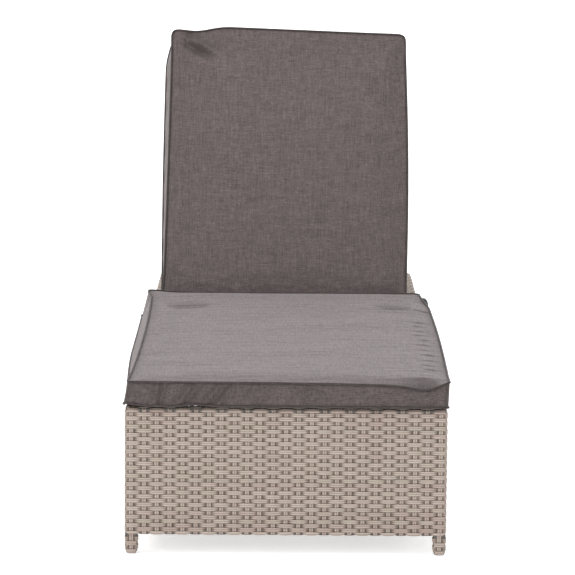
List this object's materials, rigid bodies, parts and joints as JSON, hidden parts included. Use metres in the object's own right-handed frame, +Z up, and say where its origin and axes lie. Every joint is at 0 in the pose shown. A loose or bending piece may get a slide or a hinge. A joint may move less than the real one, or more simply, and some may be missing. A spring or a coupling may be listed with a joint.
{
  "type": "reclining sun lounger",
  "caption": "Wicker box-base sun lounger with a long seat cushion and a backrest that reclines from steep to flat on a folding prop over notched racks.",
  "frame": {"origin": "on the floor under the middle of the base", "axes": "+Y from the foot end to the head end, +X to the right for someone looking from the foot end, +Z up"},
  "size_m": [0.6536, 2, 0.9509],
  "materials": {
    "frame_steel": "matt powder coat over square steel tube",
    "wicker": "flat ribbed synthetic wicker strand, grey-beige, each strand a little different",
    "glide_plastic": "black moulded plastic",
    "zinc_fasteners": "zinc-plated",
    "hinge_nylon": "natural nylon",
    "cushion_fabric": "taupe-grey slub-weave polyester, piped seams",
    "strap_webbing": "black webbing"
  },
  "bodies": {
    "base": {"leg_foot_left": "frame_steel", "leg_foot_right": "frame_steel", "leg_head_left": "frame_steel", "leg_head_right": "frame_steel", "leg_wrap_foot_left": "wicker", "leg_wrap_foot_right": "wicker", "leg_wrap_head_left": "wicker", "leg_wrap_head_right": "wicker", "glide_foot_left": "glide_plastic", "glide_foot_right": "glide_plastic", "glide_head_left": "glide_plastic", "glide_head_right": "glide_plastic", "side_rail_left": "frame_steel", "side_rail_right": "frame_steel", "foot_rail": "frame_steel", "head_rail": "frame_steel", "lower_side_rail_left": "frame_steel", "lower_side_rail_right": "frame_steel", "lower_foot_rail": "frame_steel", "lower_head_rail": "frame_steel", "side_post_left": "frame_steel", "side_post_right": "frame_steel", "seat_crossbar_foot": "frame_steel", "seat_crossbar_middle": "frame_steel", "seat_crossbar_rear": "frame_steel", "hinge_crossbar": "frame_steel", "rack_crossbar": "frame_steel", "woven_side_left": "wicker", "woven_side_right": "wicker", "woven_foot_end": "wicker", "woven_head_end": "wicker", "seat_deck": "wicker", "hinge_bracket_left": "frame_steel", "hinge_bracket_right": "frame_steel", "hinge_bolt_left": "zinc_fasteners", "hinge_bolt_right": "zinc_fasteners", "hinge_lock_nuts": "zinc_fasteners", "rack_left": "frame_steel", "rack_right": "frame_steel", "seat_cushion": "cushion_fabric", "cushion_strap_left": "strap_webbing", "cushion_strap_right": "strap_webbing"},
    "backrest": {"back_side_tube_left": "frame_steel", "back_side_tube_right": "frame_steel", "back_bottom_tube": "frame_steel", "back_middle_tube": "frame_steel", "back_top_tube": "frame_steel", "hinge_bush_left": "hinge_nylon", "hinge_bush_right": "hinge_nylon", "woven_back": "wicker", "prop_bracket_left": "frame_steel", "prop_bracket_right": "frame_steel", "prop_bolts": "zinc_fasteners", "prop_lock_nuts": "zinc_fasteners", "back_cushion": "cushion_fabric"},
    "prop": {"prop_arm_left": "frame_steel", "prop_arm_right": "frame_steel", "prop_bar": "frame_steel"}
  },
  "joints": [
    {"name": "backrest_hinge", "type": "hinge", "parent": "base", "child": "backrest", "pos_m": [0, 0.3, 0.286], "axis": [-1, 0, 0], "range_deg": [0, 62]},
    {"name": "prop_pivot", "type": "hinge", "parent": "backrest", "child": "prop", "pos_m": [0, 0.44788, 0.56413], "axis": [1, 0, 0], "range_deg": [0, 124]}
  ],
  "couplings": [
    {"joint": "prop_pivot", "follows": "backrest_hinge", "ratio": 2}
  ]
}
